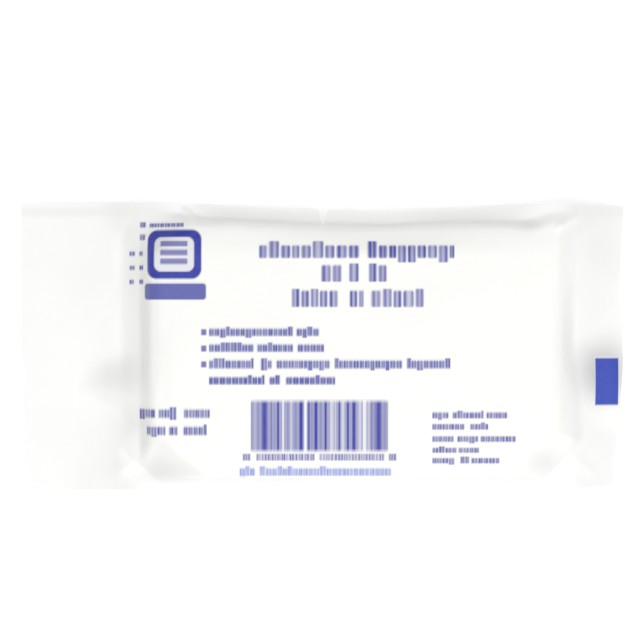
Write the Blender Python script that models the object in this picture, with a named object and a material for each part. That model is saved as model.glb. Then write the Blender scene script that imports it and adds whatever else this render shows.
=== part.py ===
# A compress bandage in its sealed wrapper. A square dressing pad is folded once, with one stretch
# gauze tail folded to and fro above it and one below. The pack lies in a pocket between a front film
# and a back film, which are sealed together all round and have a wide grip margin at the left end.
# It lies on its back on z = 0, with +X along its length and +Y towards its upper edge. Metres.

import math

import bmesh
import bpy
from mathutils.bvhtree import BVHTree

# The folded bandage
PAD_SIDE = 0.1016  # the open pad is four inches square, and the tails' gauze is as wide
PAD_LEAF = 0.0020  # thickness of each half of the folded pad
TAIL_PANEL = 0.0588  # from fold to fold of a tail
TAIL_LAYERS = 4
GAUZE_LAYER = 0.0007
FOLD_GAP = 0.0003  # between two layers of one folded piece
SEAT_GAP = 0.0003  # between the pieces that lie on each other
POCKET_GAP = 0.0005  # from the pack to the films

# The films
FILM = 0.0004  # thickness of each film
SEAM_GAP = 0.0003  # between the two films in the seal
LEFT_MARGIN = 0.0312  # grip end
RIGHT_MARGIN = 0.0147
UPPER_MARGIN = 0.0058
LOWER_MARGIN = 0.0032
END_CLEARANCE = 0.0018  # from the pack's ends to the ends of the pocket's level top
SIDE_CLEARANCE = 0.0005  # from the pack's sides to the sides of the pocket's level top
WALL_RUN = 0.0030  # how far the pocket's wall leans out from its top to its foot
POCKET_CORNER = 0.0070  # plan radius of the pocket's level top
FOOT_CORNER = 0.0030  # plan radius of the wall's foot
SEAM_HEIGHT = 0.0050  # of the seal above the table at the foot of the wall
EDGE_HEIGHT = 0.0020  # of the seal above the table at the outer edges
END_DROOP = 0.0140  # distance over which an end margin comes down
SIDE_DROOP = 0.0120  # distance over which a side margin comes down
TOP_CROWN = 0.0007  # how much higher the pack's middle is
SEAM_WAVE = 0.00035  # how far the margins wave up and down
WAVE_LENGTH = 0.041
NOTCH_WIDTH = 0.0023  # tear notch in the upper margin, at its mouth
NOTCH_SEAL = 0.0008  # seal left between the notch and the pocket
NICK_WIDTH = 0.0048  # shallow nick in the grip end
NICK_UP = 0.40  # share of the width, from the lower edge
NICK_DEPTH = 0.0013
CUTTER_REACH = 0.0030  # how far a cutter stands out past what it cuts

# The outline, side by side. "along" is a share of the side's length, from the left or from below,
# and "inset" a share of that side's margin, since the film is drawn in beside the pack.
UPPER_EDGE = (
    {"along": 0.00, "inset": 0.00},
    {"along": 0.22, "inset": 0.00},
    {"along": 0.38, "inset": 0.14},
    {"along": 0.56, "inset": 0.36},
    {"along": 0.70, "inset": 0.22},
    {"along": 0.88, "inset": 0.09},
    {"along": 1.00, "inset": 0.09},
)
LOWER_EDGE = (
    {"along": 0.00, "inset": 0.10},
    {"along": 0.07, "inset": 0.00},
    {"along": 0.22, "inset": 0.06},
    {"along": 0.36, "inset": 0.32},
    {"along": 0.63, "inset": 0.50},
    {"along": 0.79, "inset": 0.00},
    {"along": 1.00, "inset": 0.34},
)
LEFT_EDGE = (
    {"along": 0.00, "inset": 0.092},
    {"along": 0.13, "inset": 0.034},
    {"along": 0.33, "inset": 0.028},
    {"along": 0.60, "inset": 0.015},
    {"along": 1.00, "inset": 0.000},
)
RIGHT_EDGE = (
    {"along": 0.00, "inset": 0.22},
    {"along": 0.30, "inset": 0.10},
    {"along": 0.45, "inset": 0.04},
    {"along": 0.66, "inset": 0.09},
    {"along": 1.00, "inset": 0.00},
)

# Folds that both films make where they leave the pocket. "out" is the share of that end's margin
# from the wall's foot, "up" the share of the pocket's width from its lower foot. The reaches are
# shares of the same two sizes, and "rise" is a share of the seal's height.
END_FOLDS = (
    {"end": "left", "out": 0.00, "up": 0.33, "reach": 0.42, "above": 0.22, "below": 0.06, "rise": 0.40},
    {"end": "right", "out": 0.55, "up": 0.41, "reach": 0.42, "above": 0.13, "below": 0.13, "rise": 0.30},
)
# Pleats of the front film at the pocket's corners. Each runs from the level top down to the margin.
# "along" and "up" are shares of the pocket's length and width, and "rise" is a share of the wall run.
CORNER_PLEATS = (
    {"along": (0.115, 0.085), "up": (0.085, -0.020), "rise": 0.24, "half_width": 0.62},
    {"along": (0.925, 0.975), "up": (0.085, -0.020), "rise": 0.24, "half_width": 0.62},
    {"along": (0.135, 0.100), "up": (0.955, 1.040), "rise": 0.24, "half_width": 0.62},
    {"along": (0.955, 1.000), "up": (0.930, 0.995), "rise": 0.24, "half_width": 0.62},
)

# Where the films' cross lines lie, in shares of each stretch.
MARGIN_LINES = (0.07, 0.18, 0.34, 0.54, 0.77)  # of an end margin, outwards
UPPER_LINES = (0.25, 0.60)
LOWER_LINES = (0.50,)
WALL_LINES = (0.20, 0.45, 0.72)
CORNER_LINES = (0.25, 0.58)  # of the pocket's corner radius, inwards
MIDDLE_LENGTH_LINES = 6
MIDDLE_WIDTH_LINES = 5
NORMAL_STEP = 0.0001  # over which a film's slope is taken
# The folded pieces' own lines, in shares of their length and of the pad's folded width
PIECE_LENGTH_LINES = (0.0, 0.014, 0.035, 0.08, 0.50, 0.92, 0.965, 0.986, 1.0)
PIECE_WIDTH_LINES = (0.02, 0.07, 0.14, 0.50, 0.86, 0.93, 0.98)
TURN_STEPS = 3  # steps in the half turn of a fold

# Places that follow from the sizes
PACK_WIDTH = max(TAIL_PANEL, PAD_SIDE / 2)
TAIL_HEIGHT = TAIL_LAYERS * GAUZE_LAYER + (TAIL_LAYERS - 1) * FOLD_GAP
PAD_HEIGHT = 2 * PAD_LEAF + FOLD_GAP
PACK_HEIGHT = 2 * TAIL_HEIGHT + PAD_HEIGHT + 2 * SEAT_GAP
POCKET_LENGTH = PAD_SIDE + 2 * (END_CLEARANCE + WALL_RUN)
POCKET_WIDTH = PACK_WIDTH + 2 * (SIDE_CLEARANCE + WALL_RUN)
LENGTH = LEFT_MARGIN + POCKET_LENGTH + RIGHT_MARGIN
WIDTH = LOWER_MARGIN + POCKET_WIDTH + UPPER_MARGIN
LEFT, RIGHT = -LENGTH / 2, LENGTH / 2
LOWER, UPPER = -WIDTH / 2, WIDTH / 2
FOOT_LEFT, FOOT_RIGHT = LEFT + LEFT_MARGIN, RIGHT - RIGHT_MARGIN
FOOT_LOWER, FOOT_UPPER = LOWER + LOWER_MARGIN, UPPER - UPPER_MARGIN
CENTRE_X = (FOOT_LEFT + FOOT_RIGHT) / 2
CENTRE_Y = (FOOT_LOWER + FOOT_UPPER) / 2
TOP_HEIGHT = PACK_HEIGHT + 2 * (POCKET_GAP + FILM)
FILM_OFFSET = SEAM_GAP / 2 + FILM  # from the middle of the seal to a film's outer face


def clear_scene():
    for old in list(bpy.data.objects):
        bpy.data.objects.remove(old)


def eased(t):
    t = min(1.0, max(0.0, t))
    return t * t * (3 - 2 * t)


def mixed(a, b, t):
    return a + (b - a) * t


def table_inset(table, along):
    """The inset share that an edge table gives at one place along its side."""
    for row, following in zip(table, table[1:]):
        if along <= following["along"]:
            share = (along - row["along"]) / (following["along"] - row["along"])
            return mixed(row["inset"], following["inset"], eased(share))
    return table[-1]["inset"]


def drawn_in(x, y):
    """Moves a point of the margins inwards, in its share, so that the outline follows the tables."""
    along_x, along_y = (x - LEFT) / LENGTH, (y - LOWER) / WIDTH
    new_x, new_y = x, y
    if x < FOOT_LEFT:
        new_x = FOOT_LEFT - (FOOT_LEFT - x) * (1 - table_inset(LEFT_EDGE, along_y))
    if x > FOOT_RIGHT:
        new_x = FOOT_RIGHT + (x - FOOT_RIGHT) * (1 - table_inset(RIGHT_EDGE, along_y))
    if y < FOOT_LOWER:
        new_y = FOOT_LOWER - (FOOT_LOWER - y) * (1 - table_inset(LOWER_EDGE, along_x))
    if y > FOOT_UPPER:
        new_y = FOOT_UPPER + (y - FOOT_UPPER) * (1 - table_inset(UPPER_EDGE, along_x))
    return new_x, new_y


def outside_of(x, y, half_length, half_width, radius):
    """Distance from a rounded rectangle about the pocket's centre, negative inside it."""
    across_x = abs(x - CENTRE_X) - half_length + radius
    across_y = abs(y - CENTRE_Y) - half_width + radius
    beyond = math.hypot(max(across_x, 0), max(across_y, 0))
    return beyond + min(max(across_x, across_y), 0) - radius


def pocket_share(x, y):
    """1 on the pocket's level top, 0 outside the foot of its wall."""
    past_top = outside_of(
        x, y, POCKET_LENGTH / 2 - WALL_RUN, POCKET_WIDTH / 2 - WALL_RUN, POCKET_CORNER
    )
    inside_foot = -outside_of(x, y, POCKET_LENGTH / 2, POCKET_WIDTH / 2, FOOT_CORNER)
    if past_top <= 0:
        return 1.0
    if inside_foot <= 0:
        return 0.0
    return 1 - eased(past_top / (past_top + inside_foot))


def end_fold(row, x, y):
    """The height that one fold of an end margin adds to the seal."""
    if row["end"] == "left":
        margin, centre_x = LEFT_MARGIN, FOOT_LEFT - row["out"] * LEFT_MARGIN
    else:
        margin, centre_x = RIGHT_MARGIN, FOOT_RIGHT + row["out"] * RIGHT_MARGIN
    centre_y = FOOT_LOWER + row["up"] * POCKET_WIDTH
    reach_y = (row["above"] if y > centre_y else row["below"]) * POCKET_WIDTH
    away = math.hypot((x - centre_x) / (row["reach"] * margin), (y - centre_y) / reach_y)
    return row["rise"] * SEAM_HEIGHT * (1 - eased(away))


def seam_height(x, y):
    """Height of the middle of the seal: it comes down from the wall's foot to the outer edges."""
    out_x = max(FOOT_LEFT - x, x - FOOT_RIGHT, 0) / END_DROOP
    out_y = max(FOOT_LOWER - y, y - FOOT_UPPER, 0) / SIDE_DROOP
    down = eased(math.hypot(out_x, out_y))
    turn = 2 * math.pi / WAVE_LENGTH
    wave = SEAM_WAVE * down * math.sin(turn * (x + 0.6 * y)) * math.cos(turn * (0.7 * y - 0.3 * x))
    folds = sum(end_fold(row, x, y) for row in END_FOLDS)
    return mixed(SEAM_HEIGHT, EDGE_HEIGHT, down) + wave + folds


def corner_pleat(row, x, y):
    """The height that one pleat adds to the front film, highest halfway down the wall."""
    start_x, end_x = (FOOT_LEFT + share * POCKET_LENGTH for share in row["along"])
    start_y, end_y = (FOOT_LOWER + share * POCKET_WIDTH for share in row["up"])
    step_x, step_y = end_x - start_x, end_y - start_y
    length = math.hypot(step_x, step_y)
    along = ((x - start_x) * step_x + (y - start_y) * step_y) / length**2
    across = abs((x - start_x) * step_y - (y - start_y) * step_x) / length
    if not 0 < along < 1:
        return 0.0
    ridge = 1 - eased(across / (row["half_width"] * WALL_RUN))
    return row["rise"] * WALL_RUN * math.sin(math.pi * along) * ridge


def front_height(x, y):
    """Outer face of the front film."""
    across_x = (x - CENTRE_X) / (POCKET_LENGTH / 2)
    across_y = (y - CENTRE_Y) / (POCKET_WIDTH / 2)
    crown = TOP_CROWN * (1 - across_x**4) * (1 - across_y**2)
    pleats = sum(corner_pleat(row, x, y) for row in CORNER_PLEATS)
    margin = seam_height(x, y) + FILM_OFFSET
    return mixed(margin, TOP_HEIGHT + crown, pocket_share(x, y)) + pleats


def back_height(x, y):
    """Outer face of the back film, level with the table under the pack."""
    return mixed(seam_height(x, y) - FILM_OFFSET, 0.0, pocket_share(x, y))


def lines_across(low, foot_low, foot_high, high, low_lines, high_lines, middle_lines):
    """The films' lines along one direction, close together where the surface turns."""
    top_low, top_high = foot_low + WALL_RUN, foot_high - WALL_RUN
    level_low, level_high = top_low + POCKET_CORNER, top_high - POCKET_CORNER
    lines = [low, foot_low, top_low, level_low, level_high, top_high, foot_high, high]
    lines += [mixed(foot_low, low, share) for share in low_lines]
    lines += [mixed(foot_high, high, share) for share in high_lines]
    for share in WALL_LINES:
        lines += [mixed(foot_low, top_low, share), mixed(foot_high, top_high, share)]
    for share in CORNER_LINES:
        lines += [mixed(top_low, level_low, share), mixed(top_high, level_high, share)]
    for step in range(1, middle_lines + 1):
        lines.append(mixed(level_low, level_high, step / (middle_lines + 1)))
    return sorted(lines)


LENGTH_LINES = lines_across(
    LEFT, FOOT_LEFT, FOOT_RIGHT, RIGHT, MARGIN_LINES, MARGIN_LINES, MIDDLE_LENGTH_LINES
)
WIDTH_LINES = lines_across(
    LOWER, FOOT_LOWER, FOOT_UPPER, UPPER, LOWER_LINES, UPPER_LINES, MIDDLE_WIDTH_LINES
)


def material(name, colour, roughness):
    made = bpy.data.materials.new(name)
    made.use_nodes = True
    shader = made.node_tree.nodes["Principled BSDF"]
    shader.inputs["Base Color"].default_value = (*colour, 1)
    shader.inputs["Roughness"].default_value = roughness
    shader.inputs["Metallic"].default_value = 0
    made.diffuse_color = (*colour, 1)
    return made


def mesh_object(name, bm, finish=None):
    mesh = bpy.data.meshes.new(name)
    bm.to_mesh(mesh)
    bm.free()
    made = bpy.data.objects.new(name, mesh)
    bpy.context.scene.collection.objects.link(made)
    if finish:
        mesh.materials.append(finish)
    return made


def notch_cutter(name, mouth, tip, width):
    """A wedge through both films, from its mouth on the outline to its tip, as (x, y) places."""
    step_x, step_y = mouth[0] - tip[0], mouth[1] - tip[1]
    depth = math.hypot(step_x, step_y)
    out_x, out_y = step_x / depth, step_y / depth
    reach = depth + CUTTER_REACH
    half = width / 2 * reach / depth
    far_x, far_y = tip[0] + out_x * reach, tip[1] + out_y * reach
    corners = (
        tip,
        (far_x - out_y * half, far_y + out_x * half),
        (far_x + out_y * half, far_y - out_x * half),
    )
    bm = bmesh.new()
    base = [bm.verts.new((x, y, -CUTTER_REACH)) for x, y in corners]
    bm.faces.new(base)
    grown = bmesh.ops.extrude_face_region(bm, geom=list(bm.faces))
    top = [item for item in grown["geom"] if isinstance(item, bmesh.types.BMVert)]
    bmesh.ops.translate(bm, verts=top, vec=(0, 0, TOP_HEIGHT + 2 * CUTTER_REACH))
    bmesh.ops.recalc_face_normals(bm, faces=list(bm.faces))
    cutter = mesh_object(name, bm)
    cutter.hide_render = True
    cutter.display_type = "WIRE"
    return cutter


def inner_place(height, side, x, y):
    """A film's inner face: square across the film in the pocket, straight above or below in the seal."""
    if pocket_share(x, y) == 0:
        return x, y, height(x, y) - side * FILM
    run_x = (height(x + NORMAL_STEP, y) - height(x - NORMAL_STEP, y)) / (2 * NORMAL_STEP)
    run_y = (height(x, y + NORMAL_STEP) - height(x, y - NORMAL_STEP)) / (2 * NORMAL_STEP)
    across = side * FILM / math.sqrt(1 + run_x**2 + run_y**2)
    return x + run_x * across, y + run_y * across, height(x, y) - across


def grid(bm, place, faces_up):
    """A sheet over the films' lines, split alike in both films. Returns its vertices row by row."""
    rows = []
    for y in WIDTH_LINES:
        points = [drawn_in(x, y) for x in LENGTH_LINES]
        rows.append([bm.verts.new(place(px, py)) for px, py in points])
    for j, (row, following) in enumerate(zip(rows, rows[1:])):
        for i in range(len(row) - 1):
            near, right, far, up = row[i], row[i + 1], following[i + 1], following[i]
            # the split runs round the pocket's corner, not across it
            if (LENGTH_LINES[i] < CENTRE_X) == (WIDTH_LINES[j] < CENTRE_Y):
                halves = ((near, right, up), (right, far, up))
            else:
                halves = ((near, right, far), (near, far, up))
            for half in halves:
                bm.faces.new(half if faces_up else half[::-1])
    return rows


def rim_of(rows):
    """The vertices round the edge of a grid, in order."""
    right = [row[-1] for row in rows[1:-1]]
    left = [row[0] for row in rows[1:-1]]
    return rows[0] + right + rows[-1][::-1] + left[::-1]


def film(name, height, side, finish, cutters):
    """One film between its outer and its inner face. Its outer face looks up for side 1, down for -1."""
    bm = bmesh.new()
    outer = grid(bm, lambda x, y: (x, y, height(x, y)), side > 0)
    inner = grid(bm, lambda x, y: inner_place(height, side, x, y), side < 0)
    outer_rim, inner_rim = rim_of(outer), rim_of(inner)
    for i in range(len(outer_rim)):
        j = (i + 1) % len(outer_rim)
        bm.faces.new((outer_rim[i], outer_rim[j], inner_rim[j], inner_rim[i]))
    bmesh.ops.recalc_face_normals(bm, faces=list(bm.faces))
    made = mesh_object(name, bm, finish)
    made.data.shade_smooth()
    made.data.set_sharp_from_angle(angle=math.radians(60))
    for cutter in cutters:
        cut = made.modifiers.new(cutter.name, "BOOLEAN")
        cut.object = cutter
        cut.operation = "DIFFERENCE"
        cut.solver = "EXACT"
    return made


def folded_line(layers, thickness, width, low):
    """The middle line of a strip folded to and fro, as (y, height) points from its lower end."""
    radius = (thickness + FOLD_GAP) / 2
    half = width / 2 - radius - thickness / 2
    inner = [(share - 0.5) * PAD_SIDE / 2 for share in PIECE_WIDTH_LINES]
    stops = [-half] + [y for y in inner if abs(y) < half] + [half]
    line = []
    for layer in range(layers):
        height = low + thickness / 2 + layer * (thickness + FOLD_GAP)
        side = 1 if layer % 2 == 0 else -1
        line += [(side * y, height) for y in stops]
        if layer < layers - 1:
            for step in range(1, TURN_STEPS):
                angle = math.pi * step / TURN_STEPS
                turned = (side * (half + radius * math.sin(angle)), height + radius * (1 - math.cos(angle)))
                line.append(turned)
    return line


def outline_of(line, thickness):
    """The closed outline of a strip of that thickness about a middle line."""
    sides = ([], [])
    for i, (y, height) in enumerate(line):
        before, after = line[max(i - 1, 0)], line[min(i + 1, len(line) - 1)]
        step_y, step_z = after[0] - before[0], after[1] - before[1]
        length = math.hypot(step_y, step_z)
        off_y, off_z = -step_z / length * thickness / 2, step_y / length * thickness / 2
        sides[0].append((y + off_y, height + off_z))
        sides[1].append((y - off_y, height - off_z))
    return sides[1] + sides[0][::-1]


def pocket_room(films):
    """A function that gives the pocket's lower and upper inner height at a place."""
    graph = bpy.context.evaluated_depsgraph_get()
    trees = [BVHTree.FromObject(made, graph) for made in films]

    def room(x, y):
        start = (x, y, SEAM_HEIGHT)
        low = trees[0].ray_cast(start, (0, 0, -1))[0].z
        high = trees[1].ray_cast(start, (0, 0, 1))[0].z
        return low + POCKET_GAP, high - POCKET_GAP

    return room


def folded_piece(name, layers, thickness, width, low, room, finish):
    """A folded strip that lies in the pocket and is pressed down with it at the corners."""
    outline = outline_of(folded_line(layers, thickness, width, low), thickness)
    bm = bmesh.new()
    sections = []
    for share in PIECE_LENGTH_LINES:
        x = CENTRE_X + (share - 0.5) * PAD_SIDE
        section = []
        for y, height in outline:
            bottom, top = room(x, CENTRE_Y + y)
            section.append(bm.verts.new((x, CENTRE_Y + y, mixed(bottom, top, height / PACK_HEIGHT))))
        sections.append(section)
    for section, following in zip(sections, sections[1:]):
        for i in range(len(outline)):
            j = (i + 1) % len(outline)
            bm.faces.new((section[i], section[j], following[j], following[i]))
    bm.faces.new(sections[0][::-1])
    bm.faces.new(sections[-1])
    bmesh.ops.recalc_face_normals(bm, faces=list(bm.faces))
    made = mesh_object(name, bm, finish)
    made.data.shade_smooth()
    made.data.set_sharp_from_angle(angle=math.radians(50))
    return made


def build():
    clear_scene()
    front_finish = material("printed film", (0.93, 0.93, 0.915), 0.38)
    back_finish = material("plain film", (0.92, 0.92, 0.91), 0.42)
    pad_finish = material("pad facing", (0.95, 0.945, 0.92), 0.8)
    gauze_finish = material("stretch gauze", (0.94, 0.93, 0.90), 0.9)

    upper_mouth = drawn_in(0.0, UPPER)
    tear_notch = notch_cutter(
        "tear notch cutter", upper_mouth, (0.0, FOOT_UPPER + NOTCH_SEAL), NOTCH_WIDTH
    )
    nick_y = mixed(LOWER, UPPER, NICK_UP)
    left_mouth = drawn_in(LEFT, nick_y)
    end_nick = notch_cutter(
        "end nick cutter", left_mouth, (left_mouth[0] + NICK_DEPTH, nick_y), NICK_WIDTH
    )
    cutters = (tear_notch, end_nick)
    back = film("back_film", back_height, -1, back_finish, cutters)
    front = film("front_film", front_height, 1, front_finish, cutters)

    room = pocket_room((back, front))
    tail = {"layers": TAIL_LAYERS, "thickness": GAUZE_LAYER, "width": TAIL_PANEL, "finish": gauze_finish}
    pad_low = TAIL_HEIGHT + SEAT_GAP
    upper_low = pad_low + PAD_HEIGHT + SEAT_GAP
    folded_piece("lower_tail", **tail, low=0.0, room=room)
    folded_piece("pad", 2, PAD_LEAF, PAD_SIDE / 2, pad_low, room, pad_finish)
    folded_piece("upper_tail", **tail, low=upper_low, room=room)


build()
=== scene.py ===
# A compress bandage in its sealed wrapper, lying on its back and seen from straight above.
import math
import random

import bmesh
import bpy
import numpy as np
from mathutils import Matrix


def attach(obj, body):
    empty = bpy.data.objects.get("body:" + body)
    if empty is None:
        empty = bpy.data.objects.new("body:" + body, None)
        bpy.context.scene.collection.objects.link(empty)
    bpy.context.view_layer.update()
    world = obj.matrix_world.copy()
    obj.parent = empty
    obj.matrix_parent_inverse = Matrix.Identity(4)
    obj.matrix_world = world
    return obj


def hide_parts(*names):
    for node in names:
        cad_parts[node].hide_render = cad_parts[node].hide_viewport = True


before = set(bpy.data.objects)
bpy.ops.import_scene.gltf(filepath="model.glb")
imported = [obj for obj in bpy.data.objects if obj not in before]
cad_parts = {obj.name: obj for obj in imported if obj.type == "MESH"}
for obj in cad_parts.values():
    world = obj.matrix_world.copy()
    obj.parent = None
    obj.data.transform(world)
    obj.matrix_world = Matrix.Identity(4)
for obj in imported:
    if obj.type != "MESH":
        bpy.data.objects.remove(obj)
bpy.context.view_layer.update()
mm = 0.001


# ---- camera
cameraSetup = {
    "lens": 135,  # a long lens keeps the wrapper's sides straight
    "sensor": 36,
    "pixelsPerMm": 3.84,  # in the photograph, at the level of the seal
    "imageSize": 640,
    "sealLevel": 3 * mm,
    "wrapperCentre": (322, 346.5),  # the pixel above the wrapper's centre
    "clip": (0.01, 20),
}


def addCamera(setup):
    seen = setup["imageSize"] / setup["pixelsPerMm"] * mm
    height = seen * setup["lens"] / setup["sensor"] + setup["sealLevel"]
    middle = setup["imageSize"] / 2
    across = (middle - setup["wrapperCentre"][0]) / setup["pixelsPerMm"] * mm
    up = (setup["wrapperCentre"][1] - middle) / setup["pixelsPerMm"] * mm
    bpy.ops.object.camera_add(location=(across, up, height), rotation=(0, 0, 0))
    camera = bpy.context.object
    camera.name = "topCamera"
    camera.data.lens = setup["lens"]
    camera.data.sensor_width = setup["sensor"]
    camera.data.clip_start, camera.data.clip_end = setup["clip"]
    bpy.context.scene.camera = camera
    print("camera at", [round(v, 4) for v in camera.location])


addCamera(cameraSetup)


# ---- small helpers
def deselectAll():
    if bpy.context.object and bpy.context.object.mode != "OBJECT":
        bpy.ops.object.mode_set(mode="OBJECT")
    bpy.ops.object.select_all(action="DESELECT")


def makeActive(piece):
    deselectAll()
    piece.select_set(True)
    bpy.context.view_layer.objects.active = piece


def applyModifiers(piece):
    makeActive(piece)
    for modifier in list(piece.modifiers):
        bpy.ops.object.modifier_apply(modifier=modifier.name)


def shadeSmooth(piece, angle):
    makeActive(piece)
    bpy.ops.object.shade_smooth_by_angle(angle=math.radians(angle))


def eased(t):
    t = np.clip(t, 0, 1)
    return t * t * (3 - 2 * t)


def softMin(a, b, blend):
    # the lower of two heights, rounded where they cross
    near = np.clip(blend - np.abs(a - b), 0, None) / blend
    return np.minimum(a, b) - near * near * blend / 4


# ---- the shape of the wrapper, in millimetres
wrapper = {
    "size": (157.1, 74.8),
    "upperEdge": [(-80, 37.4), (-45, 37.4), (-34, 37.0), (-19, 36.6), (-6, 36.1), (0, 35.6), (10, 35.3),
                  (20, 35.8), (33, 36.2), (46, 36.6), (62, 36.9), (80, 36.6)],
    "lowerEdge": [(-80, -37.0), (-68, -37.4), (-45, -37.1), (-30, -36.6), (-19, -36.3), (20, -35.8),
                  (34, -36.4), (46, -37.3), (62, -36.9), (80, -36.2)],
    "leftEdge": [(-38, -76.0), (-32.2, -76.5), (-29.6, -77.3), (-24, -77.9), (-12.6, -77.7), (-8, -77.9),
                 (0, -78.1), (25, -78.3), (34, -78.4), (38, -78.55)],
    "rightEdge": [(-38, 75.3), (-36, 75.5), (-16, 77.5), (-3.5, 78.2), (6, 77.9), (15, 77.3), (25, 77.8),
                  (37, 78.55)],
    "footLeft": -46.4,
    "footRight": 63.4,
    "footUpper": 32.6,
    "footLower": -34.0,
    "pocketCentre": (8.4, -0.7),
    "topHeight": 14.5,
    "crown": 0.55,
    "crownReach": (55, 33),
    "endLevel": 2.3,  # height of the seal far out in the end margins
    "footLevel": (5.2, 7.2),  # height of the seal at the foot of the left and of the right wall
    "endReach": 9.35,  # how far out the end margins sink
    "shelfLevel": 6.2,  # height of the seal along the long sides
    "shelfFrom": 20,  # how far from the pocket's middle line it begins to count
    "shelfOver": 12,
    "shelfWidth": 3.5,
    "shelfDroop": (1.0, -0.45),  # how far it sinks over that width on the lower and on the upper side
    "edgeDroop": 0.55,  # how far the end margins' upper edge hangs
    "edgeDroopFrom": 33.2,
    "edgeDroopOver": 3.6,
}

# at each corner the seal climbs from the end margin to the shelf on a ramp. It starts at its foot and ends at a
# ridge that runs aslant and moves along X by "slant" for each millimetre of Y.
cornerRamps = {
    "feet": (-47.5, 66.0),
    "lowerRidges": ({"x": -33.2, "y": -30.2, "slant": 0.63}, {"x": 51.7, "y": -29.3, "slant": -0.78}),
    "upperRidges": ({"x": -31.0, "y": 32.0, "slant": -0.7}, {"x": 58.0, "y": 31.0, "slant": 0.3}),
    "middleSoft": 0.1,
    "footSoft": 0.2,
    "ridgeSoft": 0.12,
}

# the films' waviness
sealWaves = [{"length": 34, "seed": 0.4, "height": 0.22}]
filmWaves = [{"length": 19, "seed": 1.3, "height": 0.06}, {"length": 8, "seed": 2.1, "height": 0.025}]

# each wall falls smoothly from its shoulder line over "steep", and "footShare" of its height is spread over a
# longer foot. Towards its lower corner the right wall flares and so gets less steep. The upper wall bends in and
# out along X and spreads where it is less steep. A facet is a flat wall with one even slope and a foot that is
# rounded by "soft".
walls = {
    "left": {"at": (-42.9, 0), "inward": (1, 0), "steep": 4.4, "foot": 5.4, "footShare": 0.36, "round": 2.0},
    "right": {"at": (59.9, 0), "inward": (-1, 0), "steep": 5.4, "foot": 0.4, "footShare": 0, "round": 1.6,
              "flare": 0.5, "flareFrom": 2, "flareOver": 24},
    "upper": {"at": (0, 30.7), "inward": (0, -1), "steep": 1.7, "foot": 4.4, "footShare": 0.34, "round": 2.0,
              "bend": [(-33, 0), (-24, -0.4), (-13, 0), (-5, 0.6), (5, 1.0), (15, 0.9), (27, 0.4), (36, 0.1),
                       (46, 0.2), (54, 1), (60, 0.1)],
              "spread": [(-37, 2.3), (-25, 1), (-12, 1), (-3, 1.15), (5, 1.2), (15, 1), (36, 1), (46, 1.1),
                         (60, 2.5)]},
    "lower": {"at": (0, -32.9), "inward": (0, 1), "steep": 1.3, "foot": 1.6, "footShare": 0.12, "round": 1.2},
}
facets = {
    "lowerLeft": {"at": (-38.6, -26.8), "inward": (0.590, 0.807), "run": 8.3, "round": 0.8, "soft": 0.05},
    "lowerRight": {"at": (57.2, -24.3), "inward": (-0.696, 0.718), "run": 7.2, "round": 0.8, "soft": 0.05},
    "upperLeft": {"at": (-39.0, 27.0), "inward": (0.620, -0.785), "run": 8.4, "round": 2.0, "soft": 0.5},
}
rimSoft = 0.16  # how softly the walls meet each other and the top

# folds in the films: a crest from one place to another, with a long slope on one side
folds = [
    {"start": (-45.5, -12.8), "end": (-64.0, -9.4), "rise": 3.0, "leftReach": 6.5, "rightReach": 13.5,
     "narrowing": 0.65},
]

# narrow raised creases
creases = [
    {"start": (-46.6, -31.0), "end": (-41.6, -22.4), "rise": 0.55, "width": 1.4},
    {"start": (-43.2, -24.5), "end": (-42.6, -5.5), "rise": 0.35, "width": 2.2},
    {"start": (59.8, -21.3), "end": (67.4, -25.4), "rise": 0.60, "width": 1.5},
    {"start": (59.5, 29.6), "end": (66.1, 34.2), "rise": 0.90, "width": 1.5},
    {"start": (-36.2, 36.0), "end": (-32.2, 32.0), "rise": 1.00, "width": 1.3},
    {"start": (-45.8, 27.5), "end": (-53.5, 33.5), "rise": 0.35, "width": 3.2},
    {"start": (-46.5, -29.0), "end": (-55.0, -33.5), "rise": 0.35, "width": 3.0},
    {"start": (64.0, 27.5), "end": (72.5, 32.5), "rise": 0.35, "width": 3.0},
    {"start": (63.5, -27.5), "end": (72.0, -34.0), "rise": 0.40, "width": 3.0},
]

# soft swellings and dents, each with its own reach along X and Y
swellings = [
    {"at": (74.8, -8.0), "reach": (9.5, 15.0), "rise": 1.9},
    {"at": (-58.0, 14.0), "reach": (12.0, 16.0), "rise": 0.5},
    {"at": (-66.0, -24.0), "reach": (12.0, 10.0), "rise": 0.4},
    {"at": (-50.5, 22.0), "reach": (5.0, 9.0), "rise": -0.4},
    {"at": (70.0, 22.0), "reach": (6.0, 9.0), "rise": 0.4},
    {"at": (71.5, -27.0), "reach": (6.5, 7.0), "rise": 0.5},
    {"at": (-20.0, 18.0), "reach": (16.0, 11.0), "rise": 0.18},
    {"at": (30.0, 6.0), "reach": (20.0, 14.0), "rise": 0.20},
    {"at": (8.0, -14.0), "reach": (22.0, 9.0), "rise": -0.16},
    {"at": (18.0, 28.5), "reach": (17.0, 6.0), "rise": -0.8},
    {"at": (-46.0, -3.0), "reach": (9.0, 30.0), "rise": -0.6},
    {"at": (-36.0, -4.0), "reach": (7.0, 16.0), "rise": 0.20},
    {"at": (-45.0, -28.5), "reach": (8.0, 9.0), "rise": -1.9},
]

# painted shade: where the film hangs clear of the pack and of the other film, its colour is darkened to paint the shade
# of the folds and hollows there
paintedShades = [
    {"at": (72.8, -6.7), "reach": (10.4, 12.3), "share": 0.85},
    {"at": (-38.8, -32.2), "reach": (10.0, 5.4), "share": 0.20},
    {"at": (56.8, -29.6), "reach": (6.5, 5.0), "share": 0.22},
    {"at": (-52.8, -6.8), "reach": (11.0, 7.0), "share": 0.14},
    {"at": (53.4, 31.0), "reach": (5.4, 2.8), "share": 0.14},
]

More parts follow.
